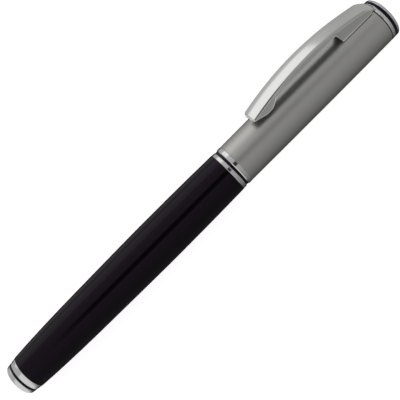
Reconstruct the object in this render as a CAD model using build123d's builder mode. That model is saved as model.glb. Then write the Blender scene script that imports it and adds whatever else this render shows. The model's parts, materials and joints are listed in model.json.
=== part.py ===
"""A capped rollerball pen, modelled piece by piece in millimetres.

The pen lies along X with its tail at -X and the top of its cap at +X, and its clip stands straight up.
Its pen axis is AXIS_HEIGHT above the surface that it lies on. Along the pen, a place is given as a
station, its distance from the flat tail end, and an outline point is (station, distance from the axis).
"""

from build123d import *
import os

# Overall size
LENGTH = 138.0
BARREL_RADIUS = 6.44
AXIS_HEIGHT = BARREL_RADIUS

# Tail end: finial, black ring, chrome ring
TAIL_FACE_RADIUS = 4.1
TAIL_EDGE_END = 0.62
TAIL_EDGE_RADIUS = 4.77
TAIL_FINIAL_END = 1.6
TAIL_FINIAL_RADIUS = 4.93
TAIL_BLACK_END = 2.25
TAIL_BLACK_RADIUS = 4.86
TAIL_RING_END = 3.96
TAIL_RING_RADIUS = 4.99
TAIL_STUD_RADIUS = 1.5
TAIL_STUD_END = 8.2
TAIL_BUSH_END = 9.0
TAIL_BORE_RADIUS = 4.5
TAIL_STEP_RADIUS = 5.1
GLUE_GROOVE_START = 5.16
GLUE_GROOVE_END = 5.76
GLUE_GROOVE_DEPTH = 0.25

# Barrel
BARREL_TAIL_RADIUS = 5.29
BARREL_LAND_START = 50.0
BARREL_LAND_END = 58.0
BARREL_END = 79.05
BARREL_MOUTH_RADIUS = 6.22
BARREL_TAIL_SLOPE = (1, 0.065)
BARREL_SWELL = [(10.0, 5.64), (20.0, 6.0), (34.0, 6.24)]
BARREL_STEP_START = 20.0
BARREL_STEP_RADIUS = 5.5
BARREL_BORE_START = 34.0
BARREL_BORE_RADIUS = 5.8
BUSH_SEAT_START = 70.0
BUSH_SEAT_RADIUS = 5.85

# Rings between barrel and cap
FRONT_RING_END = 80.26
SPACER_END = 80.95
LIP_RING_END = 82.45
LIP_SLEEVE_END = 86.0
RING_RADIUS = 6.17
SPACER_RADIUS = 5.95
SPACER_BORE = 4.55

# Screw joint between barrel and writing section, an M9 x 0.75 right-hand thread
THREAD_PITCH = 0.75
THREAD_TURNS = 8
THREAD_START = 74.3
THREAD_CREST = 4.4
THREAD_ROOT = 3.98
THREAD_BORE = 4.5
THREAD_GAP = 0.12
THREAD_SINK = 0.04
THREAD_FOOT_WIDTH = 0.54
THREAD_CREST_WIDTH = 0.1
NOSE_RADIUS = 5.1

# Writing section
LAND_RADIUS = 5.0
LAND_END = 92.0
SECTION_BORE = 3.2
SECTION_BUSH_START = 70.5
SECTION_BUSH_END = 90.0
SECTION_BUSH_RADIUS = 4.0
CONE_START = 115.0
CONE_END = 122.5
CONE_SPIGOT_START = 109.0
CONE_SPIGOT_RADIUS = 3.7
GRIP_WAIST = 105.0
GRIP_WAIST_RADIUS = 4.35
GRIP_END_RADIUS = 4.5
REFILL_STOP = 111.25
CLUTCH_START = 87.0
CLUTCH_END = 88.0
CLUTCH_RADIUS = 5.08
CLUTCH_BORE = 4.62
CLUTCH_SPLIT = 1.2

# Refill, the common 110.5 mm rollerball size
TIP_END = 125.0
REFILL_LENGTH = 110.5
REFILL_RADIUS = 3.05
REFILL_WALL = 0.45
REFILL_START = TIP_END - REFILL_LENGTH
PLUG_FLANGE = 1.0
PLUG_LENGTH = 4.5
COLLAR_START = 104.0
COLLAR_FLANGE_START = 110.0
COLLAR_FLANGE_END = 111.2
COLLAR_END = 117.0
COLLAR_RADIUS = 2.2
TIP_START = 112.0
TIP_RADIUS = 1.15
WICK_RADIUS = 0.7
WICK_START = 92.0
WICK_END = 121.0
BALL_RADIUS = 0.35
BALL_GAP = 0.02
BALL_LIP = 0.17
BALL_WALL = 0.08
INK_CHANNEL_RADIUS = 0.2
FIBRE_START = 21.0
FIBRE_END = 98.0

# Spring behind the refill
SPRING_START = 9.05
SPRING_WIRE = 0.35
SPRING_RADIUS = 2.1
SPRING_COILS = 4

# Cap
CAP_END = 135.4
CAP_MOUTH_RADIUS = 6.14
CAP_SWELL = 112.0
CAP_SWELL_RADIUS = 6.2
CAP_TOP_RADIUS = 6.12
CAP_BORE = 5.55
CAP_RING_END = 136.3
CAP_BLACK_END = 137.2
CAP_BLACK_RADIUS = 6.09
FINIAL_RADIUS = 6.12
FINIAL_ROUND = 0.3
STUD_RADIUS = 1.95
STUD_CORE = 1.6
STUD_START = 131.0
STUD_PITCH = 0.7
STUD_TURNS = 6
STUD_FOOT_WIDTH = 0.46
STUD_BORE = 2.05
TOP_BUSH_START = 130.0

# Inner cap, the liner that grips the section and seals the nose
LINER_START = 86.1
LINER_END = 129.0
LINER_RADIUS = 5.5
LINER_MOUTH_BORE = 5.1
SNAP_RADIUS = 5.25
SNAP_START = 86.8
SNAP_END = 88.2
LINER_STEP = 97.0
LINER_BORE = 4.75
SEAL_START = 116.0
SEAL_END = 120.0
SEAL_RADIUS = 3.25
LINER_FLOOR = 127.5

# Clip, a stamped channel with its root in the clip ring
CLIP_WIDTH = 4.8
CLIP_SHEET = 0.55
CLIP_TIP = 92.4
CLIP_TIP_HEIGHT = 8.92
CLIP_NOSE_HEIGHT = 8.55
CLIP_TIP_LOW = 8.15
CLIP_APEX = 112.8
CLIP_APEX_HEIGHT = 11.66
CLIP_SHOULDER = 133.0
CLIP_SHOULDER_HEIGHT = 8.86
CLIP_LOWER_EDGE = 9.1
CLIP_LOBE_LOW = 97.5
CLIP_LOBE_HEIGHT = 6.95
CLIP_LOBE_END = 101.2
CLIP_NOTCH_TOP = 122.96
CLIP_NOTCH_FOOT = 124.3
CLIP_FOOT_RADIUS = 6.22
CLIP_CORE_HEIGHT = 4.0
CLIP_TIP_WALL = 1.2
CLIP_ROOT_SLOPE = (0.9625, -0.271)
CLIP_TIP_ROUND = 0.7

# Local x is the station, local y the distance above the pen axis
profile_plane = Plane(origin=(-LENGTH / 2, 0, AXIS_HEIGHT), x_dir=(1, 0, 0), z_dir=(0, -1, 0))
pen_axis = Axis((0, 0, AXIS_HEIGHT), (1, 0, 0))


def across(station):
    """The plane across the pen at a station, facing the cap's top."""
    return Plane(origin=(station - LENGTH / 2, 0, AXIS_HEIGHT), x_dir=(0, 1, 0), z_dir=(1, 0, 0))


def turn(*outline, mode=Mode.ADD):
    """Turn a closed outline round the pen axis."""
    with BuildSketch(profile_plane) as profile:
        with BuildLine():
            Polyline(*outline, close=True)
        make_face()
    revolve(profile.sketch, axis=pen_axis, mode=mode)


def tube(start, end, bore, radius, mode=Mode.ADD):
    """A plain sleeve from one station to another."""
    turn((start, bore), (end, bore), (end, radius), (start, radius), mode=mode)


def thread(start, turns, pitch, foot, crest, foot_width, crest_width):
    """A helical tooth. Foot and crest are radii: a crest inside the foot makes a threaded hole."""
    with BuildLine(mode=Mode.PRIVATE) as path:
        Helix(pitch, turns * pitch, foot, center=across(start).origin, direction=(1, 0, 0))
    with BuildSketch(Plane(path.line @ 0, x_dir=(1, 0, 0), z_dir=path.line % 0)) as tooth:
        with BuildLine():
            Polyline(
                (-foot_width / 2, 0),
                (foot_width / 2, 0),
                (crest_width / 2, crest - foot),
                (-crest_width / 2, crest - foot),
                close=True,
            )
        make_face()
    sweep(tooth.sketch, path=path.line, is_frenet=True)


# ---------------------------------------------------------------- barrel

# The lacquered tube swells from the tail to a short cylindrical land and narrows again to its mouth.
# Its bore widens in steps with it, which keeps the wall thin.
with BuildPart() as barrel_tube:
    with BuildSketch(profile_plane) as barrel_profile:
        with BuildLine():
            Spline(
                (TAIL_RING_END, BARREL_TAIL_RADIUS),
                *BARREL_SWELL,
                (BARREL_LAND_START, BARREL_RADIUS),
                tangents=[BARREL_TAIL_SLOPE, (1, 0)],
            )
            Line((BARREL_LAND_START, BARREL_RADIUS), (BARREL_LAND_END, BARREL_RADIUS))
            TangentArc((BARREL_LAND_END, BARREL_RADIUS), (BARREL_END, BARREL_MOUTH_RADIUS), tangent=(1, 0))
            Polyline(
                (BARREL_END, BARREL_MOUTH_RADIUS),
                (BARREL_END, BUSH_SEAT_RADIUS),
                (BUSH_SEAT_START, BUSH_SEAT_RADIUS),
                (BUSH_SEAT_START, BARREL_BORE_RADIUS),
                (BARREL_BORE_START, BARREL_BORE_RADIUS),
                (BARREL_BORE_START, BARREL_STEP_RADIUS),
                (BARREL_STEP_START, BARREL_STEP_RADIUS),
                (BARREL_STEP_START, TAIL_STEP_RADIUS),
                (TAIL_BUSH_END, TAIL_STEP_RADIUS),
                (TAIL_BUSH_END, TAIL_BORE_RADIUS),
                (TAIL_RING_END, TAIL_BORE_RADIUS),
                (TAIL_RING_END, BARREL_TAIL_RADIUS),
            )
        make_face()
    revolve(axis=pen_axis)

# Chrome trim at the barrel's mouth, bevelled towards the cap.
with BuildPart() as barrel_front_ring:
    turn(
        (BARREL_END, NOSE_RADIUS),
        (FRONT_RING_END, NOSE_RADIUS),
        (FRONT_RING_END, SPACER_RADIUS),
        (FRONT_RING_END - 0.15, RING_RADIUS - 0.08),
        (BARREL_END + 0.15, BARREL_MOUTH_RADIUS + 0.02),
        (BARREL_END, BARREL_MOUTH_RADIUS - 0.05),
    )

# Brass bush pressed into the barrel's mouth, threaded to take the writing section.
with BuildPart() as barrel_thread_bush:
    turn(
        (BUSH_SEAT_START + 1, THREAD_BORE),
        (FRONT_RING_END, THREAD_BORE),
        (FRONT_RING_END, NOSE_RADIUS),
        (BARREL_END, NOSE_RADIUS),
        (BARREL_END, BUSH_SEAT_RADIUS),
        (BUSH_SEAT_START + 1, BUSH_SEAT_RADIUS),
    )
    thread(
        THREAD_START + THREAD_PITCH / 2,
        THREAD_TURNS - 1,
        THREAD_PITCH,
        THREAD_BORE + THREAD_SINK,
        THREAD_ROOT + THREAD_GAP,
        THREAD_FOOT_WIDTH,
        THREAD_CREST_WIDTH,
    )

# Tail trim: a bright ring, a thin black ring and a bright finial whose stud screws into the tail bush.
with BuildPart() as tail_ring:
    turn(
        (TAIL_BLACK_END, TAIL_STUD_RADIUS + 0.1),
        (TAIL_RING_END, TAIL_STUD_RADIUS + 0.1),
        (TAIL_RING_END, BARREL_TAIL_RADIUS - 0.02),
        (TAIL_BLACK_END, TAIL_RING_RADIUS),
    )

with BuildPart() as tail_black_ring:
    tube(TAIL_FINIAL_END, TAIL_BLACK_END, TAIL_STUD_RADIUS + 0.1, TAIL_BLACK_RADIUS)

with BuildPart() as tail_finial:
    with BuildSketch(profile_plane) as finial_profile:
        with BuildLine():
            Line((0, 0), (0, TAIL_FACE_RADIUS))
            TangentArc((0, TAIL_FACE_RADIUS), (TAIL_EDGE_END, TAIL_EDGE_RADIUS), tangent=(0, 1))
            Polyline(
                (TAIL_EDGE_END, TAIL_EDGE_RADIUS),
                (TAIL_FINIAL_END, TAIL_FINIAL_RADIUS),
                (TAIL_FINIAL_END, TAIL_STUD_RADIUS),
                (TAIL_STUD_END, TAIL_STUD_RADIUS),
                (TAIL_STUD_END, 0),
                (0, 0),
            )
        make_face()
    revolve(axis=pen_axis)

# Plug that holds the finial's stud and seats the spring, with a groove for glue.
with BuildPart() as tail_bush:
    tube(TAIL_RING_END, TAIL_BUSH_END, TAIL_STUD_RADIUS + 0.02, TAIL_BORE_RADIUS)
    groove_floor = TAIL_BORE_RADIUS - GLUE_GROOVE_DEPTH
    tube(GLUE_GROOVE_START, GLUE_GROOVE_END, groove_floor, TAIL_BORE_RADIUS, mode=Mode.SUBTRACT)

# Steel spring that keeps the refill pressed forward, drawn at its fitted length.
with BuildPart() as refill_spring:
    spring_length = REFILL_START - 0.05 - SPRING_START - SPRING_WIRE
    with BuildLine(mode=Mode.PRIVATE) as spring_path:
        Helix(
            spring_length / SPRING_COILS,
            spring_length,
            SPRING_RADIUS,
            center=across(SPRING_START + SPRING_WIRE / 2).origin,
            direction=(1, 0, 0),
        )
    with BuildSketch(Plane(spring_path.line @ 0, z_dir=spring_path.line % 0)) as spring_wire:
        Circle(SPRING_WIRE / 2)
    sweep(spring_wire.sketch, path=spring_path.line, is_frenet=True)

# Loose black ring between barrel and writing section.
with BuildPart() as barrel_black_ring:
    tube(FRONT_RING_END, SPACER_END, SPACER_BORE, SPACER_RADIUS)

# ---------------------------------------------------------------- writing section

# Moulded grip with a land that the cap slides over, a groove for the clutch ring and a gentle waist.
with BuildPart() as grip_section:
    with BuildSketch(profile_plane) as grip_profile:
        with BuildLine():
            Polyline(
                (SPACER_END, SECTION_BUSH_RADIUS),
                (SPACER_END, LAND_RADIUS),
                (CLUTCH_START - 0.05, LAND_RADIUS),
                (CLUTCH_START - 0.05, CLUTCH_BORE - 0.06),
                (CLUTCH_END + 0.05, CLUTCH_BORE - 0.06),
                (CLUTCH_END + 0.05, LAND_RADIUS),
                (LAND_END, LAND_RADIUS),
                (LAND_END + 0.4, LAND_RADIUS - 0.25),
            )
            ThreePointArc(
                (LAND_END + 0.4, LAND_RADIUS - 0.25),
                (GRIP_WAIST, GRIP_WAIST_RADIUS),
                (CONE_START, GRIP_END_RADIUS),
            )
            Polyline(
                (CONE_START, GRIP_END_RADIUS),
                (CONE_START, CONE_SPIGOT_RADIUS),
                (CONE_SPIGOT_START, CONE_SPIGOT_RADIUS),
                (CONE_SPIGOT_START, SECTION_BORE),
                (SECTION_BUSH_END, SECTION_BORE),
                (SECTION_BUSH_END, SECTION_BUSH_RADIUS),
                (SPACER_END, SECTION_BUSH_RADIUS),
            )
        make_face()
    revolve(axis=pen_axis)

with BuildPart() as section_thread_bush:
    turn(
        (SECTION_BUSH_START, SECTION_BORE),
        (SECTION_BUSH_END, SECTION_BORE),
        (SECTION_BUSH_END, SECTION_BUSH_RADIUS),
        (SPACER_END, SECTION_BUSH_RADIUS),
        (SPACER_END - 0.3, THREAD_ROOT),
        (SECTION_BUSH_START + 0.3, THREAD_ROOT),
        (SECTION_BUSH_START, THREAD_ROOT - 0.3),
    )
    thread(
        THREAD_START,
        THREAD_TURNS - 0.5,
        THREAD_PITCH,
        THREAD_ROOT - THREAD_SINK,
        THREAD_CREST,
        THREAD_FOOT_WIDTH,
        THREAD_CREST_WIDTH,
    )

# Bright nose cone with the shoulder that the refill rests on.
with BuildPart() as section_nose_cone:
    with BuildSketch(profile_plane) as cone_profile:
        with BuildLine():
            Polyline(
                (CONE_SPIGOT_START, SECTION_BORE),
                (CONE_SPIGOT_START, CONE_SPIGOT_RADIUS),
                (CONE_START, CONE_SPIGOT_RADIUS),
                (CONE_START, GRIP_END_RADIUS),
            )
            TangentArc((CONE_START, GRIP_END_RADIUS), (CONE_END, TIP_RADIUS + 0.45), tangent=(1, -0.12))
            Polyline(
                (CONE_END, TIP_RADIUS + 0.45),
                (CONE_END, TIP_RADIUS + 0.15),
                (COLLAR_END + 0.6, TIP_RADIUS + 0.15),
                (COLLAR_END + 0.6, COLLAR_RADIUS + 0.15),
                (REFILL_STOP, COLLAR_RADIUS + 0.15),
                (REFILL_STOP, SECTION_BORE),
                (CONE_SPIGOT_START, SECTION_BORE),
            )
        make_face()
    revolve(axis=pen_axis)

# Split ring that snaps into the liner, drawn squeezed to the size of the liner's bore.
with BuildPart() as cap_clutch_ring:
    tube(CLUTCH_START, CLUTCH_END, CLUTCH_BORE, CLUTCH_RADIUS)
    with BuildSketch(across(CLUTCH_START)):
        with Locations((0, -CLUTCH_RADIUS)):
            Rectangle(CLUTCH_SPLIT, 2 * (CLUTCH_RADIUS - CLUTCH_BORE) + 1)
    extrude(amount=CLUTCH_END - CLUTCH_START, mode=Mode.SUBTRACT)

# ---------------------------------------------------------------- refill

with BuildPart() as refill_end_plug:
    turn(
        (REFILL_START, 0),
        (REFILL_START, REFILL_RADIUS),
        (REFILL_START + PLUG_FLANGE, REFILL_RADIUS),
        (REFILL_START + PLUG_FLANGE, REFILL_RADIUS - REFILL_WALL),
        (REFILL_START + PLUG_LENGTH, REFILL_RADIUS - REFILL_WALL),
        (REFILL_START + PLUG_LENGTH, 0),
    )

with BuildPart() as refill_tube:
    tube(REFILL_START + PLUG_FLANGE, COLLAR_FLANGE_START, REFILL_RADIUS - REFILL_WALL, REFILL_RADIUS)

# Ink-soaked fibre rod, hollow at its front end for the wick.
with BuildPart() as refill_ink_fibre:
    tube(FIBRE_START, FIBRE_END, 0, REFILL_RADIUS - REFILL_WALL - 0.1)
    tube(WICK_START - 0.1, FIBRE_END, 0, WICK_RADIUS + 0.05, mode=Mode.SUBTRACT)

with BuildPart() as refill_wick:
    tube(WICK_START, WICK_END, 0, WICK_RADIUS)

with BuildPart() as refill_collar:
    turn(
        (COLLAR_START, WICK_RADIUS + 0.05),
        (TIP_START, WICK_RADIUS + 0.05),
        (TIP_START, TIP_RADIUS),
        (COLLAR_END, TIP_RADIUS),
        (COLLAR_END, COLLAR_RADIUS - 0.5),
        (COLLAR_END - 1.2, COLLAR_RADIUS),
        (COLLAR_FLANGE_END, COLLAR_RADIUS),
        (COLLAR_FLANGE_END, REFILL_RADIUS),
        (COLLAR_FLANGE_START, REFILL_RADIUS),
        (COLLAR_FLANGE_START, REFILL_RADIUS - REFILL_WALL),
        (COLLAR_START, REFILL_RADIUS - REFILL_WALL),
    )

# Metal point with a socket closed round the ball.
ball_centre = TIP_END - BALL_RADIUS
with BuildPart() as refill_tip:
    turn(
        (TIP_START, WICK_RADIUS + 0.05),
        (WICK_END + 0.3, WICK_RADIUS + 0.05),
        (WICK_END + 0.6, INK_CHANNEL_RADIUS),
        (ball_centre + BALL_LIP, INK_CHANNEL_RADIUS),
        (ball_centre + BALL_LIP, BALL_RADIUS + BALL_WALL),
        (ball_centre - 0.6, BALL_RADIUS + 0.2),
        (WICK_END + 0.9, TIP_RADIUS),
        (TIP_START, TIP_RADIUS),
    )
    with Locations(across(ball_centre)):
        Sphere(BALL_RADIUS + BALL_GAP, mode=Mode.SUBTRACT)

with BuildPart() as refill_ball:
    with Locations(across(ball_centre)):
        Sphere(BALL_RADIUS)

# ---------------------------------------------------------------- cap

# The cap tube swells very slightly between its mouth and its top.
with BuildPart() as cap_tube:
    with BuildSketch(profile_plane) as cap_profile:
        with BuildLine():
            ThreePointArc(
                (LIP_RING_END, CAP_MOUTH_RADIUS),
                (CAP_SWELL, CAP_SWELL_RADIUS),
                (CAP_END, CAP_TOP_RADIUS),
            )
            Polyline(
                (CAP_END, CAP_TOP_RADIUS),
                (CAP_END, CAP_BORE),
                (LIP_RING_END, CAP_BORE),
                (LIP_RING_END, CAP_MOUTH_RADIUS),
            )
        make_face()
    revolve(axis=pen_axis)

# Chrome lip with a sleeve inside the cap tube.
with BuildPart() as cap_lip_ring:
    turn(
        (SPACER_END, LAND_RADIUS + 0.15),
        (LIP_SLEEVE_END, LAND_RADIUS + 0.15),
        (LIP_SLEEVE_END, CAP_BORE),
        (LIP_RING_END, CAP_BORE),
        (LIP_RING_END, CAP_MOUTH_RADIUS),
        (LIP_RING_END - 0.1, RING_RADIUS),
        (SPACER_END + 0.25, RING_RADIUS),
        (SPACER_END, RING_RADIUS - 0.15),
    )

# Liner: snap groove at its mouth, two bores and a cone that closes round the nose.
with BuildPart() as inner_cap:
    turn(
        (LINER_START, LINER_MOUTH_BORE),
        (SNAP_START - 0.15, LINER_MOUTH_BORE),
        (SNAP_START, SNAP_RADIUS),
        (SNAP_END, SNAP_RADIUS),
        (SNAP_END + 0.15, LINER_MOUTH_BORE),
        (LINER_STEP, LINER_MOUTH_BORE),
        (LINER_STEP + 0.5, LINER_BORE),
        (SEAL_START, LINER_BORE),
        (SEAL_END, SEAL_RADIUS),
        (LINER_FLOOR, SEAL_RADIUS),
        (LINER_FLOOR, 0),
        (LINER_END, 0),
        (LINER_END, SEAL_RADIUS),
        (LINER_END - 1.5, LINER_RADIUS),
        (LINER_START, LINER_RADIUS),
    )

# Brass bush in the cap's top that the finial's stud screws into.
with BuildPart() as cap_top_bush:
    tube(TOP_BUSH_START, CAP_END, STUD_BORE, CAP_BORE)
    thread(
        STUD_START + STUD_PITCH / 2,
        STUD_TURNS - 1,
        STUD_PITCH,
        STUD_BORE + THREAD_SINK,
        STUD_CORE + THREAD_GAP,
        STUD_FOOT_WIDTH,
        THREAD_CREST_WIDTH,
    )

# The clip's ring, held between cap tube and black ring, with the raised root that the arm grows from.
shoulder_start = (CLIP_SHOULDER, CLIP_SHOULDER_HEIGHT)
shoulder_end = (CAP_RING_END, CAP_TOP_RADIUS + 0.02)
with BuildPart() as clip_ring:
    with BuildSketch(profile_plane) as root_profile:
        with BuildLine():
            TangentArc(shoulder_start, shoulder_end, tangent=CLIP_ROOT_SLOPE)
            Polyline(
                shoulder_end,
                (CAP_RING_END, CLIP_CORE_HEIGHT),
                (CLIP_SHOULDER, CLIP_CORE_HEIGHT),
                shoulder_start,
            )
        make_face()
    extrude(amount=CLIP_WIDTH / 2, both=True)
    tube(CAP_END - 5, CAP_END, 0, CLIP_APEX_HEIGHT, mode=Mode.SUBTRACT)
    tube(CAP_END, CAP_RING_END, 0, CAP_TOP_RADIUS)
    tube(CAP_END, CAP_RING_END, 0, STUD_RADIUS + 0.15, mode=Mode.SUBTRACT)

with BuildPart() as cap_black_ring:
    tube(CAP_RING_END, CAP_BLACK_END, STUD_RADIUS + 0.15, CAP_BLACK_RADIUS)

with BuildPart() as cap_finial:
    turn(
        (CAP_BLACK_END, 0),
        (CAP_BLACK_END, FINIAL_RADIUS),
        (LENGTH - FINIAL_ROUND, FINIAL_RADIUS),
        (LENGTH - 0.3 * FINIAL_ROUND, FINIAL_RADIUS - 0.3 * FINIAL_ROUND),
        (LENGTH, FINIAL_RADIUS - FINIAL_ROUND),
        (LENGTH, 0),
    )
    tube(STUD_START, CAP_BLACK_END, 0, STUD_CORE)
    thread(
        STUD_START,
        STUD_TURNS,
        STUD_PITCH,
        STUD_CORE - THREAD_SINK,
        STUD_RADIUS,
        STUD_FOOT_WIDTH,
        THREAD_CREST_WIDTH,
    )

# The clip's arm: a bowed channel with a deeper lobe at its tip and a foot that follows the cap.
arm_end = CAP_END - 0.02
with BuildPart() as clip_arm:
    with BuildSketch(profile_plane) as arm_profile:
        with BuildLine():
            apex = (CLIP_APEX, CLIP_APEX_HEIGHT)
            tip_top = (CLIP_TIP + 0.35, CLIP_TIP_HEIGHT)
            tip_low = (CLIP_TIP + 0.6, CLIP_TIP_LOW)
            TangentArc(apex, tip_top, tangent=(-1, 0))
            ThreePointArc(tip_top, (CLIP_TIP, CLIP_NOSE_HEIGHT), tip_low)
            Spline(
                tip_low,
                (CLIP_LOBE_LOW, CLIP_LOBE_HEIGHT),
                (CLIP_LOBE_END, CLIP_LOWER_EDGE),
                tangents=[(1, -0.45), (0.5, 1)],
            )
            Polyline(
                (CLIP_LOBE_END, CLIP_LOWER_EDGE),
                (CLIP_NOTCH_TOP, CLIP_LOWER_EDGE),
                (CLIP_NOTCH_FOOT, CAP_BORE),
                (CAP_RING_END, CAP_BORE),
                shoulder_end,
            )
            TangentArc(shoulder_start, shoulder_end, tangent=CLIP_ROOT_SLOPE)
            TangentArc(apex, shoulder_start, tangent=(1, 0))
        make_face()
    extrude(amount=CLIP_WIDTH / 2, both=True)
    # Seen from above, the arm is a straight bar whose tip has rounded corners.
    with BuildSketch(Plane.XY) as plan:
        with Locations(((CLIP_TIP + CAP_RING_END - LENGTH) / 2, 0)):
            Rectangle(CAP_RING_END - CLIP_TIP, CLIP_WIDTH)
        fillet(plan.vertices().group_by(Axis.X)[0], CLIP_TIP_ROUND)
    extrude(amount=AXIS_HEIGHT + CLIP_APEX_HEIGHT + 1, mode=Mode.INTERSECT)
    tube(arm_end, CAP_RING_END + 1, 0, CLIP_APEX_HEIGHT, mode=Mode.SUBTRACT)
    tube(CLIP_NOTCH_FOOT - 5, CAP_END, 0, CLIP_FOOT_RADIUS, mode=Mode.SUBTRACT)
    # Hollow of the channel, open underneath
    with BuildSketch(profile_plane) as hollow_profile:
        with BuildLine():
            inner_apex = (CLIP_APEX, CLIP_APEX_HEIGHT - CLIP_SHEET)
            inner_tip = (CLIP_TIP + CLIP_TIP_WALL, CLIP_TIP_HEIGHT - CLIP_SHEET + 0.05)
            inner_end = (CLIP_SHOULDER, CLIP_SHOULDER_HEIGHT - CLIP_SHEET)
            TangentArc(inner_apex, inner_tip, tangent=(-1, 0))
            Polyline(
                inner_tip,
                (CLIP_TIP + CLIP_TIP_WALL, CLIP_CORE_HEIGHT),
                (CAP_END - CLIP_SHEET, CLIP_CORE_HEIGHT),
                (CAP_END - CLIP_SHEET, inner_end[1] - 0.7),
                inner_end,
            )
            TangentArc(inner_apex, inner_end, tangent=(1, 0))
        make_face()
    extrude(amount=CLIP_WIDTH / 2 - CLIP_SHEET, both=True, mode=Mode.SUBTRACT)

# ---------------------------------------------------------------- write each piece

pieces = {
    "barrel_tube": barrel_tube,
    "barrel_front_ring": barrel_front_ring,
    "barrel_thread_bush": barrel_thread_bush,
    "tail_ring": tail_ring,
    "tail_black_ring": tail_black_ring,
    "tail_finial": tail_finial,
    "tail_bush": tail_bush,
    "refill_spring": refill_spring,
    "barrel_black_ring": barrel_black_ring,
    "grip_section": grip_section,
    "section_thread_bush": section_thread_bush,
    "section_nose_cone": section_nose_cone,
    "cap_clutch_ring": cap_clutch_ring,
    "refill_end_plug": refill_end_plug,
    "refill_tube": refill_tube,
    "refill_ink_fibre": refill_ink_fibre,
    "refill_wick": refill_wick,
    "refill_collar": refill_collar,
    "refill_tip": refill_tip,
    "refill_ball": refill_ball,
    "cap_tube": cap_tube,
    "cap_lip_ring": cap_lip_ring,
    "inner_cap": inner_cap,
    "cap_top_bush": cap_top_bush,
    "clip_ring": clip_ring,
    "clip_arm": clip_arm,
    "cap_black_ring": cap_black_ring,
    "cap_finial": cap_finial,
}
os.makedirs("parts", exist_ok=True)
for name, piece in pieces.items():
    piece.part.label = name
    export_step(piece.part, f"parts/{name}.step")
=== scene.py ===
"""Looks of the capped rollerball pen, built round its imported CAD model.

Lengths along the pen are stations, in millimetres from the flat tail end, and heights and radii are
millimetres from the pen axis, as on a drawing of the pen. point() turns them into the frame's metres.
"""

import json
import math

import bpy
from mathutils import Matrix, Vector


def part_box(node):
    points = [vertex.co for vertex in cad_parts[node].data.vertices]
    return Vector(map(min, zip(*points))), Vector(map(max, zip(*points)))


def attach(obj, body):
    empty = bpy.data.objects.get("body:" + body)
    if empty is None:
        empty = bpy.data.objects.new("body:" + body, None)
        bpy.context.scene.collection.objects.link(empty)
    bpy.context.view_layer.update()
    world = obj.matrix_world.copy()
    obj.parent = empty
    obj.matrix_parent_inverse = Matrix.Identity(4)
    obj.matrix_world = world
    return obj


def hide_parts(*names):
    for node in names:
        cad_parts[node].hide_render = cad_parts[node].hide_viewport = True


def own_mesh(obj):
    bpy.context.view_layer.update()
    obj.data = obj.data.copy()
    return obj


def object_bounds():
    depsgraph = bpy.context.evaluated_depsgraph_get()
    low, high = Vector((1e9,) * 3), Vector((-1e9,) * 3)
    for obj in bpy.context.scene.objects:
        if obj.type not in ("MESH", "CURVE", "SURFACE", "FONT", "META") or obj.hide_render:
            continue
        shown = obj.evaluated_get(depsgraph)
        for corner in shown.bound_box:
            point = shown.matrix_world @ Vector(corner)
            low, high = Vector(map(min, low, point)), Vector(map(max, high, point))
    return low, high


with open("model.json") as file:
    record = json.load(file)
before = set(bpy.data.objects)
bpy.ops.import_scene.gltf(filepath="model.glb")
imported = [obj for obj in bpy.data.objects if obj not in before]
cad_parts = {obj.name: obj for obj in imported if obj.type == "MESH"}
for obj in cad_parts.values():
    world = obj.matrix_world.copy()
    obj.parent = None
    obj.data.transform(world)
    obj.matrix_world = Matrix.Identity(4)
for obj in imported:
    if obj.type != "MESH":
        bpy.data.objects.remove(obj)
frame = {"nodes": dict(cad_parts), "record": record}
cad_box = [list(corner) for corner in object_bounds()]

MM = 0.001
PEN_LOW, PEN_HIGH = (Vector(corner) for corner in cad_box)
BARREL_LOW, BARREL_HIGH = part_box("barrel_tube")
AXIS_Z = (BARREL_LOW.z + BARREL_HIGH.z) / 2
LENGTH = (PEN_HIGH.x - PEN_LOW.x) / MM

# Steps round a turned piece, rounding of a plain corner, steps round it, and its largest share of a side
TURN_STEPS = 160
EDGE = 0.05
CORNER_STEPS = 4
CORNER_SHARE = 0.45
ON_AXIS = 1e-6
FLAT_FACE_WEIGHT = 60


def point(station, y, height):
    """A place given in pen millimetres, in the frame's metres."""
    return Vector((PEN_LOW.x + station * MM, y * MM, AXIS_Z + height * MM))


def span(node):
    """First and last station of a CAD node, and its largest radius."""
    low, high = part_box(node)
    return (low.x - PEN_LOW.x) / MM, (high.x - PEN_LOW.x) / MM, high.y / MM


# ---------------------------------------------------------------- camera

CAMERA_LENS = 61.5
SENSOR_WIDTH = 36
NEAR_CLIP = 0.01
CAMERA_DISTANCE = 183.2
CAMERA_ELEVATION = 45.0
CAMERA_ROLL = 45.06
AIM_STATION = 68.6
AIM_DROP = 0.015

elevation = math.radians(CAMERA_ELEVATION)
toward_camera = Vector((0, -math.cos(elevation), math.sin(elevation)))
along_pen = Vector((1, 0, 0))
across_view = toward_camera.cross(along_pen)
roll = math.radians(CAMERA_ROLL)
camera_right = along_pen * math.cos(roll) - across_view * math.sin(roll)
camera_up = along_pen * math.sin(roll) + across_view * math.cos(roll)
aim = point(AIM_STATION, 0, 0) - across_view * AIM_DROP * MM

camera_data = bpy.data.cameras.new("camera")
camera_data.lens = CAMERA_LENS
camera_data.sensor_width = SENSOR_WIDTH
camera_data.clip_start = NEAR_CLIP
camera = bpy.data.objects.new("camera", camera_data)
camera.matrix_world = Matrix.Translation(aim + toward_camera * CAMERA_DISTANCE * MM) @ Matrix(
    (camera_right, camera_up, toward_camera)
).transposed().to_4x4()
bpy.context.scene.collection.objects.link(camera)
bpy.context.scene.camera = camera
bpy.context.scene.view_settings.view_transform = "Standard"


# ---------------------------------------------------------------- materials


GRAIN_DETAIL = 3.0


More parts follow.
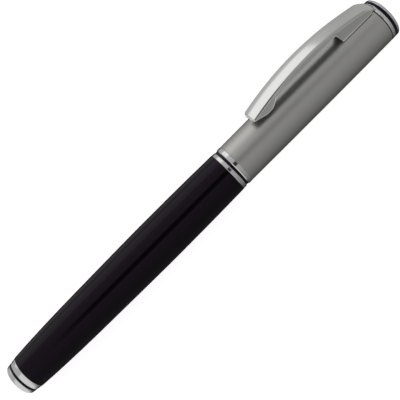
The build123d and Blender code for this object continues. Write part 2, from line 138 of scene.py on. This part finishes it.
def material(name, metallic=0.0, **inputs):
    """A material with one Principled shader whose sockets are set by name, with _ for a space."""
    made = bpy.data.materials.new(name)
    made.use_nodes = True
    shader = made.node_tree.nodes["Principled BSDF"]
    shader.inputs["Metallic"].default_value = metallic
    for socket, value in inputs.items():
        shader.inputs[socket.replace("_", " ")].default_value = value
    return made


def node(tree, kind, **settings):
    """A shader node with its settings, and its inputs where a setting names a socket."""
    made = tree.nodes.new(kind)
    for key, value in settings.items():
        if key in made.inputs:
            made.inputs[key].default_value = value
        else:
            setattr(made, key, value)
    return made


def grain(made, scale, stretch, roughness, bump, distance):
    """Surface grain: a noise, stretched along the pen, that varies the gloss and lifts the surface.

    Roughness is its lowest and highest value, and distance is the height of the grain in metres.
    """
    tree = made.node_tree
    shader = tree.nodes["Principled BSDF"]
    place = node(tree, "ShaderNodeTexCoord")
    mapping = node(tree, "ShaderNodeMapping", Scale=(stretch, 1, 1))
    tree.links.new(place.outputs["Object"], mapping.inputs["Vector"])
    noise = node(tree, "ShaderNodeTexNoise", Scale=scale, Detail=GRAIN_DETAIL)
    tree.links.new(mapping.outputs["Vector"], noise.inputs["Vector"])
    spread = node(tree, "ShaderNodeMapRange")
    spread.inputs["To Min"].default_value = roughness[0]
    spread.inputs["To Max"].default_value = roughness[1]
    tree.links.new(noise.outputs["Fac"], spread.inputs["Value"])
    tree.links.new(spread.outputs["Result"], shader.inputs["Roughness"])
    relief = node(tree, "ShaderNodeBump", Strength=bump, Distance=distance)
    tree.links.new(noise.outputs["Fac"], relief.inputs["Height"])
    tree.links.new(relief.outputs["Normal"], shader.inputs["Normal"])


satin = material("cap_satin", 1.0, Base_Color=(0.6, 0.595, 0.575, 1))
grain(satin, 9000, 0.08, (0.36, 0.44), 0.12, 0.00002)
clip_metal = material("clip_satin", 1.0, Base_Color=(0.86, 0.86, 0.845, 1))
grain(clip_metal, 9000, 0.08, (0.13, 0.18), 0.05, 0.00001)
# Painted shade: this darker, duller copy of the clip's metal goes on the clip's inner skin, partly as
# its unpolished inside and partly as shade under the clip, and on its lower rims and groove as their
# shade
clip_inside_and_shade = material("clip_inside_and_shade", 1.0, Base_Color=(0.4, 0.4, 0.41, 1))
grain(clip_inside_and_shade, 5000, 0.1, (0.4, 0.55), 0.1, 0.00002)
chrome = material("chrome_trim", 1.0, Base_Color=(0.8, 0.8, 0.79, 1))
grain(chrome, 2500, 1, (0.07, 0.12), 0.02, 0.00001)
lacquer = material(
    "barrel_lacquer",
    0.0,
    Base_Color=(0.0042, 0.0026, 0.005, 1),
    IOR=1.3,
    Specular_Tint=(0.95, 0.76, 1.0, 1),
)
grain(lacquer, 700, 1, (0.09, 0.13), 0.02, 0.00002)
black = material(
    "black_trim",
    0.0,
    Base_Color=(0.003, 0.002, 0.011, 1),
    IOR=1.35,
    Specular_Tint=(0.8, 0.75, 1.0, 1),
)
grain(black, 2500, 1, (0.12, 0.2), 0.02, 0.00001)
# Painted shade: a near-black, rough finish on the floor of the cap's groove by the clip's ring, standing
# in for the shade in that groove
groove_shade = material("groove_shade", 0.0, Base_Color=(0.01, 0.01, 0.012, 1))
grain(groove_shade, 3000, 1, (0.6, 0.8), 0.1, 0.00001)
brass = material("turned_brass", 1.0, Base_Color=(0.68, 0.5, 0.24, 1))
grain(brass, 4000, 4, (0.2, 0.32), 0.1, 0.00002)
grip = material("grip_plastic", 0.0, Base_Color=(0.02, 0.02, 0.022, 1))
grain(grip, 3500, 1, (0.42, 0.52), 0.25, 0.00004)
liner = material("liner_plastic", 0.0, Base_Color=(0.035, 0.035, 0.04, 1))
grain(liner, 1800, 1, (0.35, 0.5), 0.1, 0.00003)
shell = material("refill_shell", 0.0, Base_Color=(0.62, 0.62, 0.6, 1))
grain(shell, 1500, 1, (0.25, 0.35), 0.05, 0.00003)
fibre = material("ink_fibre", 0.0, Base_Color=(0.02, 0.03, 0.1, 1))
grain(fibre, 6000, 0.05, (0.7, 0.9), 0.6, 0.0001)
wick = material("wick_fibre", 0.0, Base_Color=(0.03, 0.04, 0.12, 1))
grain(wick, 6000, 0.05, (0.7, 0.9), 0.6, 0.0001)
point_metal = material("point_metal", 1.0, Base_Color=(0.7, 0.67, 0.6, 1))
grain(point_metal, 6000, 4, (0.12, 0.22), 0.08, 0.00001)
carbide = material("ball_carbide", 1.0, Base_Color=(0.3, 0.3, 0.31, 1))
grain(carbide, 9000, 1, (0.1, 0.2), 0.05, 0.00001)
steel = material("spring_steel", 1.0, Base_Color=(0.5, 0.5, 0.49, 1))
grain(steel, 5000, 1, (0.2, 0.3), 0.05, 0.00001)

SLOT_MATERIALS = {
    "cap_satin": satin,
    "clip_satin": clip_metal,
    "chrome_trim": chrome,
    "barrel_lacquer": lacquer,
    "black_trim": black,
    "turned_brass": brass,
    "grip_plastic": grip,
    "liner_plastic": liner,
    "refill_shell": shell,
    "ink_fibre": fibre,
    "wick_fibre": wick,
    "point_metal": point_metal,
    "ball_carbide": carbide,
    "spring_steel": steel,
}
slot_of = {part["node"]: part["material_slot"] for part in frame["record"]["subparts"]}
bodies = frame["record"]["behaviour"]["bodies"]
body_of = {name: body for body, names in bodies.items() for name in names}
for name, cad in frame["nodes"].items():
    for index in range(len(cad.data.materials)):
        cad.data.materials[index] = SLOT_MATERIALS[slot_of[name]]


# ---------------------------------------------------------------- turned pieces


def softened(outline, closed):
    """The outline with each corner rounded: (station, radius) or (station, radius, rounding)."""
    out = []
    count = len(outline)
    for i, corner in enumerate(outline):
        here = Vector(corner[:2])
        size = corner[2] if len(corner) > 2 else EDGE
        at_end = not closed and i in (0, count - 1)
        if at_end or size == 0:
            out.append(here)
            continue
        before = Vector(outline[i - 1][:2]) - here
        after = Vector(outline[(i + 1) % count][:2]) - here
        reach = min(size, before.length * CORNER_SHARE, after.length * CORNER_SHARE)
        start, end = here + before.normalized() * reach, here + after.normalized() * reach
        for step in range(CORNER_STEPS + 1):
            t = step / CORNER_STEPS
            out.append(start * (1 - t) ** 2 + here * 2 * t * (1 - t) + end * t ** 2)
    return out


def finish_mesh(name, vertices, faces, finish):
    """A smooth-shaded object whose flat faces keep their own direction."""
    mesh = bpy.data.meshes.new(name)
    mesh.from_pydata(vertices, [], faces)
    mesh.validate()
    mesh.materials.append(finish)
    for face in mesh.polygons:
        face.use_smooth = True
    made = bpy.data.objects.new(name, mesh)
    bpy.context.scene.collection.objects.link(made)
    weighted = made.modifiers.new("flat_faces", "WEIGHTED_NORMAL")
    weighted.weight = FLAT_FACE_WEIGHT
    return made


def turned(node_name, outline, closed=True, painted_shade_from=None):
    """A turned piece that stands for a CAD node. An open outline starts and ends on the pen axis.

    The faces from the given station on are painted near black, as painted shade inside a groove.
    """
    rings = softened(outline, closed)
    vertices, faces, ring_of = [], [], []
    for station, radius in rings:
        on_axis = radius < ON_AXIS
        ring_of.append((len(vertices), on_axis))
        for step in range(1 if on_axis else TURN_STEPS):
            angle = 2 * math.pi * step / TURN_STEPS
            vertices.append(point(station, radius * math.sin(angle), radius * math.cos(angle)))
    for i in range(len(rings) if closed else len(rings) - 1):
        (a, a_axis), (b, b_axis) = ring_of[i], ring_of[(i + 1) % len(rings)]
        for step in range(TURN_STEPS):
            nxt = (step + 1) % TURN_STEPS
            if a_axis and b_axis:
                continue
            if a_axis:
                faces.append((a, b + nxt, b + step))
            elif b_axis:
                faces.append((a + step, a + nxt, b))
            else:
                faces.append((a + step, a + nxt, b + nxt, b + step))
    made = finish_mesh("look_" + node_name, vertices, faces, SLOT_MATERIALS[slot_of[node_name]])
    # Painted shade: the faces from that station on take the near-black groove finish
    if painted_shade_from is not None:
        made.data.materials.append(groove_shade)
        dark_x = point(painted_shade_from, 0, 0).x
        for face in made.data.polygons:
            face.material_index = int(min(vertices[i].x for i in face.vertices) >= dark_x)
    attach(made, body_of[node_name])
    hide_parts(node_name)
    return made


def curve(points, steps):
    """A smooth curve through the points. Its ends are corners, and its other points aren't rounded."""
    out = []
    for i in range(len(points) - 1):
        p0 = Vector(points[max(i - 1, 0)])
        p1, p2 = Vector(points[i]), Vector(points[i + 1])
        p3 = Vector(points[min(i + 2, len(points) - 1)])
        m1 = (p2 - p0) / (p2.x - p0.x) * (p2.x - p1.x)
        m2 = (p3 - p1) / (p3.x - p1.x) * (p2.x - p1.x)
        for step in range(steps):
            t = step / steps
            at = (
                p1 * (2 * t**3 - 3 * t**2 + 1)
                + m1 * (t**3 - 2 * t**2 + t)
                + p2 * (3 * t**2 - 2 * t**3)
                + m2 * (t**3 - t**2)
            )
            out.append((at.x, at.y, 0))
    out[0] = points[0]
    out.append(points[-1])
    return out


# Barrel: its bore narrows in steps towards the tail, each a (station, radius) where the step ends
CURVE_STEPS = 8
BUSH_SEAT = (70, 5.85)
BARREL_BORE = (34, 5.8)
BARREL_STEP = (20, 5.5)
TAIL_STEP = (9, 5.1)
TAIL_BORE = 4.5
TAIL_END_RADIUS = 5.29
start, end, radius = span("barrel_tube")
barrel_swell = [
    (start + 0.05, 5.293),
    (10, 5.64),
    (20, 6.0),
    (34, 6.24),
    (50, radius),
    (58, radius),
    (68, 6.385),
    (end, 6.22),
]
turned(
    "barrel_tube",
    [
        (start, TAIL_BORE),
        (start, TAIL_END_RADIUS),
        *curve(barrel_swell, CURVE_STEPS),
        (end, BUSH_SEAT[1]),
        BUSH_SEAT,
        (BUSH_SEAT[0], BARREL_BORE[1]),
        BARREL_BORE,
        (BARREL_BORE[0], BARREL_STEP[1]),
        BARREL_STEP,
        (BARREL_STEP[0], TAIL_STEP[1]),
        TAIL_STEP,
        (TAIL_STEP[0], TAIL_BORE),
    ],
)
RING_CHAMFER = 0.15
FRONT_RING_BORE = 5.1
SPACER_BORE = 4.55
start, end, _ = span("barrel_front_ring")
turned(
    "barrel_front_ring",
    [
        (start, FRONT_RING_BORE),
        (start, 6.1),
        (start + RING_CHAMFER, 6.17),
        (end - RING_CHAMFER, 6.13),
        (end, 5.97),
        (end, FRONT_RING_BORE),
    ],
)
start, end, radius = span("barrel_black_ring")
turned(
    "barrel_black_ring",
    [(start, SPACER_BORE), (start, radius), (end, radius), (end, SPACER_BORE)],
)

# Tail: two rings on the stud of its finial
TAIL_HOLE = 1.6
TAIL_STUD_RADIUS = 1.5
TAIL_STUD_END = 8.2
start, end, radius = span("tail_ring")
turned("tail_ring", [(start, TAIL_HOLE), (start, 4.99, 0.12), (end, radius, 0.06), (end, TAIL_HOLE)])
start, end, radius = span("tail_black_ring")
turned("tail_black_ring", [(start, TAIL_HOLE), (start, radius), (end, radius), (end, TAIL_HOLE)])
turned(
    "tail_finial",
    [
        (0, 0),
        (0, 4.1, 0.15),
        (0.18, 4.45, 0.3),
        (0.62, 4.77, 0.4),
        (1.6, 4.93, 0.06),
        (1.6, TAIL_STUD_RADIUS),
        (TAIL_STUD_END, TAIL_STUD_RADIUS),
        (TAIL_STUD_END, 0),
    ],
    closed=False,
)

# Cap: it has a groove beside the clip's ring, painted near black as painted shade, and its lip is just
# clear of the black ring
CAP_GROOVE = 0.28
CAP_BORE = 5.55
LIP_GAP = 0.02
LIP_BORE = 5.15
LIP_CHAMFER = 0.25
BLACK_RING_HOLE = 2.1
STUD_RADIUS = 1.6
STUD_START = 131
start, end, radius = span("cap_lip_ring")
turned(
    "cap_lip_ring",
    [
        (start + LIP_GAP, LIP_BORE),
        (start + LIP_GAP, 6.02, 0.04),
        (start + LIP_CHAMFER, radius),
        (82.3, radius),
        (82.34, 6.0),
        (82.45, 6.0),
        (82.45, CAP_BORE),
        (end, CAP_BORE),
        (end, LIP_BORE),
    ],
)
start, end, radius = span("cap_tube")
cap_swell = [(start, 6.14), (98, 6.186), (112, radius), (124, 6.173), (end - CAP_GROOVE, 6.12)]
turned(
    "cap_tube",
    [
        (start, CAP_BORE),
        *curve(cap_swell, CURVE_STEPS),
        (end - CAP_GROOVE, 5.8),
        (end, 5.8),
        (end, CAP_BORE),
    ],
    painted_shade_from=end - CAP_GROOVE - EDGE,
)
start, end, radius = span("cap_black_ring")
turned(
    "cap_black_ring",
    [(start, BLACK_RING_HOLE), (start, radius), (end, radius), (end, BLACK_RING_HOLE)],
)
turned(
    "cap_finial",
    [
        (STUD_START, 0),
        (STUD_START, STUD_RADIUS),
        (end, STUD_RADIUS),
        (end, 6.08, 0.05),
        (LENGTH - 0.3, 6.06, 0.15),
        (LENGTH, 5.75, 0.15),
        (LENGTH, 0),
    ],
    closed=False,
)

# Spring: a copy of the CAD coil, riding with its body
cad_spring = frame["nodes"]["refill_spring"]
spring = bpy.data.objects.new("look_refill_spring", cad_spring.data.copy())
spring.matrix_world = cad_spring.matrix_world
bpy.context.scene.collection.objects.link(spring)
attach(spring, body_of["refill_spring"])
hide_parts("refill_spring")
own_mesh(spring)

# ---------------------------------------------------------------- clip

CLIP_TIP = 92.2
CLIP_HALF_WIDTH = [(92, 2.3), (103, 2.32), (110, 2.42), (137, 2.42)]
CLIP_SHEET = 0.5
CLIP_CORNER = 1.1
CLIP_FRONT_EDGE = 0.9
CLIP_CROWN_RADIUS = 9.3
CLIP_APEX = 112.8
CLIP_APEX_HEIGHT = 11.84
CLIP_BOW_RADIUS = 74.6
CLIP_SHOULDER = 132.8
CLIP_END = span("clip_ring")[1]
CLIP_END_HEIGHT = 6.2
CLIP_DROP_POWER = 1.4
CLIP_SEAM = (135.38, 135.4)
COLUMN_SPACING = 0.35
CORNER_COLUMNS = 8
CROWN_ROWS = 20
EDGE_ROWS = 8
SIDE_ROWS = 6
# Slope of the crown where the edge starts, in degrees, and how far its rounding may go
CROWN_LEAN = 15
INNER_CORNER_SHARE = 0.9
EDGE_TO_CORNER = 0.8
EDGE_TO_HALF = 0.5
SEAT_HOLE = 2.2
SEAT_RADIUS = 6.12
SEAT_ROUND = 0.04

# Lower edge of the clip's sides: the lobe at the tip, a straight run, the notch and the foot on the cap
CLIP_LOWER_EDGE = [
    (92.2, 8.35),
    (93.0, 8.2),
    (94.0, 7.93),
    (94.9, 7.6),
    (96.0, 7.25),
    (96.8, 7.1),
    (97.5, 7.05),
    (98.2, 7.13),
    (98.9, 7.4),
    (99.6, 7.9),
    (100.35, 8.65),
    (101.0, 9.42, 0.3),
    (122.8, 9.5, 0.25),
    (124.0, 5.98, 0.2),
    (134.3, 5.98, 0.3),
    (134.9, 5.68, 0.2),
    (CLIP_END, 5.66),
]
# Half width of the clip along that edge
CLIP_FLARE = [(92, 2.4), (97.5, 2.6), (103, 2.6), (122, 2.6), (124.5, 2.56), (131, 2.58), (134, 2.58)]
CLIP_FLARE += [(134.5, 2.5), (134.9, 2.36), (135.2, 2.28), (135.38, 2.26), (137, 2.26)]
# Radius of the edge between the clip's top and its sides
CLIP_EDGE = [(92, 0.06), (104, 0.1), (112, 0.3), (120, 0.55), (128, 0.8), (137, 0.8)]
# Height of the groove under that edge, whose faces take the darker inside finish as painted shade, which
# runs out along the arm, and its depth
CLIP_GROOVE = [(92.9, 0.004), (93.2, 0.42), (99, 0.36), (107, 0.004)]
GROOVE_DEPTH = 0.36
GROOVE_ROWS = 3


def along(points, station):
    """Value at a station on a line through points of (station, value)."""
    for (x0, y0, *_), (x1, y1, *_) in zip(points, points[1:]):
        if station <= x1:
            return y0 + (y1 - y0) * max(station - x0, 0) / (x1 - x0)
    return points[-1][1]


def crest(station):
    """Height of the clip's top along its middle: one long bow, and the drop to the ring at its root."""
    away = min(station, CLIP_SHOULDER) - CLIP_APEX
    height = CLIP_APEX_HEIGHT - CLIP_BOW_RADIUS + math.sqrt(CLIP_BOW_RADIUS**2 - away**2)
    if station <= CLIP_SHOULDER:
        return height
    part = (station - CLIP_SHOULDER) / (CLIP_END - CLIP_SHOULDER)
    slope = -away / math.sqrt(CLIP_BOW_RADIUS**2 - away**2) * (CLIP_END - CLIP_SHOULDER)
    return height + slope * part + (CLIP_END_HEIGHT - height - slope) * part**CLIP_DROP_POWER


def clip_shell(stations, inset, has_tip):
    """One skin of the clip: rows across its top, and the points down its side for each place on its rim.

    A column is (station, half width of the top). A place on the rim is (station, how far it faces ahead,
    how far aside, radius of its edge).
    """
    half = along(CLIP_HALF_WIDTH, CLIP_TIP) - inset
    corner = CLIP_CORNER - inset * INNER_CORNER_SHARE
    columns = []
    rim = []
    if has_tip:
        front = CLIP_TIP + inset
        middle = (front + corner, half - corner)
        edge = min(CLIP_FRONT_EDGE, corner * EDGE_TO_CORNER)
        for step in range(CORNER_COLUMNS + 1):
            turn = math.pi / 2 * step / CORNER_COLUMNS
            ahead, aside = math.cos(turn), math.sin(turn)
            edge_here = edge + (along(CLIP_EDGE, front) - edge) * aside**2
            reach = corner - edge_here
            columns.append((middle[0] - reach * ahead, middle[1] + reach * aside))
            rim.append((middle[0] - corner * ahead, ahead, aside, edge_here))
    for station in stations:
        half = along(CLIP_HALF_WIDTH, station) - inset
        edge = min(along(CLIP_EDGE, station), half * EDGE_TO_HALF)
        columns.append((station, half - edge))
        rim.append((station, 0, 1, edge))
    top = []
    for station, reach in columns:
        row = []
        for step in range(CROWN_ROWS + 1):
            y = reach * (2 * step / CROWN_ROWS - 1)
            sag = CLIP_CROWN_RADIUS - math.sqrt(CLIP_CROWN_RADIUS**2 - y**2)
            row.append((station, y, crest(station) - inset - sag))
        top.append(row)
    sides = []
    lean = math.radians(CROWN_LEAN)
    for (station, reach), (rim_station, ahead, aside, edge) in zip(columns, rim):
        start = crest(station) - inset - CLIP_CROWN_RADIUS + math.sqrt(CLIP_CROWN_RADIUS**2 - reach**2)
        points = []
        for step in range(1, EDGE_ROWS + 1):
            a = lean + (math.pi / 2 - lean) * step / EDGE_ROWS
            out = edge * (math.sin(a) - math.sin(lean))
            down = edge * (math.cos(lean) - math.cos(a))
            points.append((station - out * ahead, reach + out * aside, start - down))
        foot_station, foot_reach, foot_height = points[-1]
        groove = along(CLIP_GROOVE, rim_station) * (not inset) * aside
        floor_reach = foot_reach - min(groove, GROOVE_DEPTH)
        points.append((foot_station, floor_reach, foot_height))
        foot_height -= groove
        points.append((foot_station, floor_reach, foot_height))
        points.append((foot_station, foot_reach, foot_height))
        low = along(lower_edge, rim_station + inset * ahead)
        spread = (along(CLIP_FLARE, rim_station) - along(CLIP_HALF_WIDTH, rim_station)) * aside
        for step in range(1, SIDE_ROWS + 1):
            part = step / SIDE_ROWS
            down_side = foot_height + (low - foot_height) * part
            points.append((foot_station, foot_reach + spread * part, down_side))
        sides.append(points)
    return top, sides


def clip_mesh(stations, has_tip):
    """Vertices and faces of a closed stretch of the clip, made of an outer and an inner skin.

    The third list says of each face whether it takes the darker inside finish: the inner skin, partly
    for its unpolished metal and partly as painted shade under the clip, and the rims and the groove, as
    painted shade.
    """
    vertices, faces, dull_and_shaded = [], [], []

    def add(place):
        vertices.append(point(*place))
        return len(vertices) - 1

    skins = []
    for inset in (0, CLIP_SHEET):
        top, sides = clip_shell(stations, inset, has_tip)
        grid = [[add(place) for place in row] for row in top]
        near = [[grid[i][0]] + [add((x, -y, z)) for x, y, z in points] for i, points in enumerate(sides)]
        far = [[grid[i][-1]] + [add(place) for place in points] for i, points in enumerate(sides)]
        if has_tip:
            # Round the front, the side's points run across at the same heights
            ahead = [near[0]]
            for j in range(1, CROWN_ROWS):
                part = j / CROWN_ROWS
                line = [grid[0][j]]
                for k, (x, y, z) in enumerate(sides[0]):
                    lift = (top[0][j][2] - top[0][0][2]) * (1 - (k + 1) / len(sides[0]))
                    line.append(add((x, y * (2 * part - 1), z + lift)))
                ahead.append(line)
            ahead.append(far[0])
            loop = near[::-1] + ahead[1:-1] + far
        else:
            loop = None
        skins.append((grid, near, far, loop))

    def quads(a_line, b_line, flip, shaded_rows=()):
        for k in range(len(a_line) - 1):
            face = (a_line[k], b_line[k], b_line[k + 1], a_line[k + 1])
            faces.append(face[::-1] if flip else face)
            dull_and_shaded.append(flip or k in shaded_rows)

    # Painted shade: the groove's rows take the darker inside finish
    groove_rows = range(EDGE_ROWS, EDGE_ROWS + GROOVE_ROWS)
    for flip, (grid, near, far, loop) in zip((False, True), skins):
        for i in range(len(grid) - 1):
            quads(grid[i], grid[i + 1], flip)
        for lines in ([loop] if loop else [near[::-1], far]):
            for a_line, b_line in zip(lines, lines[1:]):
                quads(a_line, b_line, flip, groove_rows)
    outer, inner = skins
    # Rims along the lower edges, in the darker inside finish as painted shade, and across the open ends
    if has_tip:
        edges = [(outer[3], inner[3])]
    else:
        edges = [(outer[1][::-1], inner[1][::-1]), (outer[2], inner[2])]
    for a_lines, b_lines in edges:
        rim = range(len(a_lines))
        quads([line[-1] for line in a_lines], [line[-1] for line in b_lines], False, rim)
    ends = (-1,) if has_tip else (0, -1)
    for end in ends:
        outer_line = outer[1][end][::-1] + outer[0][end][1:] + outer[2][end][1:]
        inner_line = inner[1][end][::-1] + inner[0][end][1:] + inner[2][end][1:]
        quads(outer_line, inner_line, end == -1)
    return vertices, faces, dull_and_shaded


def clip_piece(name, stations, has_tip, node_name):
    """A stretch of the clip with a darker inside, rims and groove, partly unpolished metal and partly
    painted shade, riding with a CAD node's body.
    """
    vertices, faces, dull_and_shaded = clip_mesh(stations, has_tip)
    made = finish_mesh(name, vertices, faces, clip_metal)
    made.data.materials.append(clip_inside_and_shade)
    for face, is_dull_and_shaded in zip(made.data.polygons, dull_and_shaded):
        face.material_index = int(is_dull_and_shaded)
    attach(made, body_of[node_name])
    return made


def clip_stations(start, end):
    """Stations from start to end: close enough for every curve, with more round each turn."""
    turns = [at[0] for at in softened(lower_edge, False)] + [at for at, _ in CLIP_FLARE + CLIP_EDGE]
    count = math.ceil((end - start) / COLUMN_SPACING)
    even = [start + (end - start) * i / count for i in range(count + 1)]
    return sorted({round(at, 3) for at in even + turns if start <= at <= end})


lower_edge = [tuple(at) for at in softened(CLIP_LOWER_EDGE, False)]
arm_stations = clip_stations(CLIP_TIP + CLIP_CORNER + COLUMN_SPACING, CLIP_SEAM[0])
arm = clip_piece("look_clip_arm", arm_stations, True, "clip_arm")
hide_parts("clip_arm")
turned(
    "clip_ring",
    [
        (CLIP_SEAM[1], SEAT_HOLE),
        (CLIP_SEAM[1], SEAT_RADIUS, SEAT_ROUND),
        (CLIP_END, SEAT_RADIUS, SEAT_ROUND),
        (CLIP_END, SEAT_HOLE),
    ],
)
clip_piece("look_clip_root", clip_stations(CLIP_SEAM[1], CLIP_END), False, "clip_ring")

# ---------------------------------------------------------------- floor and light

FLOOR_SIZE = 3.0
FLOOR_GREY = 0.3
FLOOR_ROUGHNESS = 0.9
FLOOR_GLOW = 0.93
floor_mesh = bpy.data.meshes.new("floor")
half = FLOOR_SIZE / 2
floor_corners = [(-half, -half, 0), (half, -half, 0), (half, half, 0), (-half, half, 0)]
floor_mesh.from_pydata(floor_corners, [], [(0, 1, 2, 3)])
floor = bpy.data.objects.new("floor", floor_mesh)
bpy.context.scene.collection.objects.link(floor)
floor_mesh.materials.append(
    material(
        "floor",
        Base_Color=(FLOOR_GREY, FLOOR_GREY, FLOOR_GREY, 1),
        Roughness=FLOOR_ROUGHNESS,
        Emission_Color=(1, 1, 1, 1),
        Emission_Strength=FLOOR_GLOW,
    )
)
floor.visible_glossy = False
floor.visible_diffuse = False

# The studio round the pen: (degrees from level at the front, going up and over, brightness).
# A bright panel hangs behind and above the pen, and the walls grow darker towards the floor.
STUDIO = [
    (-180, 0.14),
    (-140, 0.03),
    (-103, 0.055),
    (-77, 0.12),
    (-59, 0.19),
    (-30, 0.265),
    (4, 0.36),
    (25, 0.41),
    (75, 0.46),
    (102, 0.56),
    (105, 0.9),
    (139.5, 0.9),
    (146.5, 0.45),
    (180, 0.45),
]
# Right-hand end of that panel, which slants by so many degrees along for each degree round the pen
PANEL_RIGHT = (18, 22)
PANEL_BESIDE = 0.5
PANEL_MIDDLE = 124
PANEL_SLANT = 0.14
FAR_RIGHT = (14, 44)
FAR_LEVEL = 0.68
# Pale walls past the pen's two ends
RIGHT_WALL = (30, 38)
RIGHT_WALL_LEVEL = 0.4
LEFT_WALL = (-34, -25)
LEFT_WALL_LEVEL = 0.72
LEFT_WALL_TOP = (60, 78)
LEFT_WALL_ABOVE = 0.45
# The dark opening that the camera looks through
OPENING_MIDDLE = 48
OPENING_HALF_HEIGHT = (8, 13)
OPENING_ASIDE = -2
OPENING_HALF_WIDTH = (11, 21)
OPENING_LEVEL = 0.08
BACKDROP = (1.0, 1.0, 1.0, 1)


def surroundings():
    """World light by direction, as pen surfaces see it. The camera itself sees a plain backdrop."""
    world = bpy.data.worlds.new("studio")
    bpy.context.scene.world = world
    world.use_nodes = True
    tree = world.node_tree

    def link(source, target):
        tree.links.new(source, target)

    def arithmetic(operation, first, second=None):
        made = node(tree, "ShaderNodeMath", operation=operation)
        for i, value in enumerate((first, second)):
            if isinstance(value, bpy.types.NodeSocket):
                link(value, made.inputs[i])
            elif value is not None:
                made.inputs[i].default_value = value
        return made.outputs[0]

    def ease(value, low, high, from_level, to_level):
        made = node(tree, "ShaderNodeMapRange", interpolation_type="SMOOTHSTEP")
        link(value, made.inputs["Value"])
        levels = {"From Min": low, "From Max": high, "To Min": from_level, "To Max": to_level}
        for socket, level in levels.items():
            made.inputs[socket].default_value = level
        return made.outputs["Result"]

    place = node(tree, "ShaderNodeTexCoord")
    split = node(tree, "ShaderNodeSeparateXYZ")
    link(place.outputs["Generated"], split.inputs[0])
    toward_front = arithmetic("MULTIPLY", split.outputs["Y"], -1)
    round_pen = arithmetic("DEGREES", arithmetic("ARCTAN2", split.outputs["Z"], toward_front))
    along_pen_axis = arithmetic("DEGREES", arithmetic("ARCSINE", split.outputs["X"]))

    ramp = node(tree, "ShaderNodeValToRGB")
    stops = ramp.color_ramp.elements
    stops.remove(stops[1])
    for i, (degrees, level) in enumerate(STUDIO):
        stop = stops[0] if i == 0 else stops.new((degrees + 180) / 360)
        stop.position = (degrees + 180) / 360
        stop.color = (level, level, level, 1)
    link(arithmetic("DIVIDE", arithmetic("ADD", round_pen, 180), 360), ramp.inputs["Fac"])

    off_panel = arithmetic("SUBTRACT", round_pen, PANEL_MIDDLE)
    slanted = arithmetic("ADD", along_pen_axis, arithmetic("MULTIPLY", off_panel, PANEL_SLANT))
    studio = arithmetic("MINIMUM", ramp.outputs["Color"], ease(slanted, *PANEL_RIGHT, 1, PANEL_BESIDE))
    studio = arithmetic("MULTIPLY", studio, ease(along_pen_axis, *FAR_RIGHT, 1, FAR_LEVEL))
    off_height = arithmetic("ABSOLUTE", arithmetic("SUBTRACT", round_pen, OPENING_MIDDLE))
    off_width = arithmetic("ABSOLUTE", arithmetic("SUBTRACT", along_pen_axis, OPENING_ASIDE))
    beyond = arithmetic(
        "MAXIMUM",
        ease(off_height, *OPENING_HALF_HEIGHT, OPENING_LEVEL, 1),
        ease(off_width, *OPENING_HALF_WIDTH, OPENING_LEVEL, 1),
    )
    studio = arithmetic("MULTIPLY", studio, beyond)

    left_wall = ease(round_pen, *LEFT_WALL_TOP, LEFT_WALL_LEVEL, LEFT_WALL_ABOVE)
    for wall, is_wall in (
        (left_wall, ease(along_pen_axis, *LEFT_WALL, 1, 0)),
        (RIGHT_WALL_LEVEL, ease(along_pen_axis, *RIGHT_WALL, 0, 1)),
    ):
        beside = arithmetic("MULTIPLY", studio, arithmetic("SUBTRACT", 1, is_wall))
        studio = arithmetic("ADD", beside, arithmetic("MULTIPLY", is_wall, wall))

    seen = node(tree, "ShaderNodeLightPath")
    lit = tree.nodes["Background"]
    link(studio, lit.inputs["Color"])
    plain = node(tree, "ShaderNodeBackground")
    plain.inputs["Color"].default_value = BACKDROP
    choice = node(tree, "ShaderNodeMixShader")
    link(seen.outputs["Is Camera Ray"], choice.inputs[0])
    link(lit.outputs[0], choice.inputs[1])
    link(plain.outputs[0], choice.inputs[2])
    link(choice.outputs[0], tree.nodes["World Output"].inputs["Surface"])


surroundings()
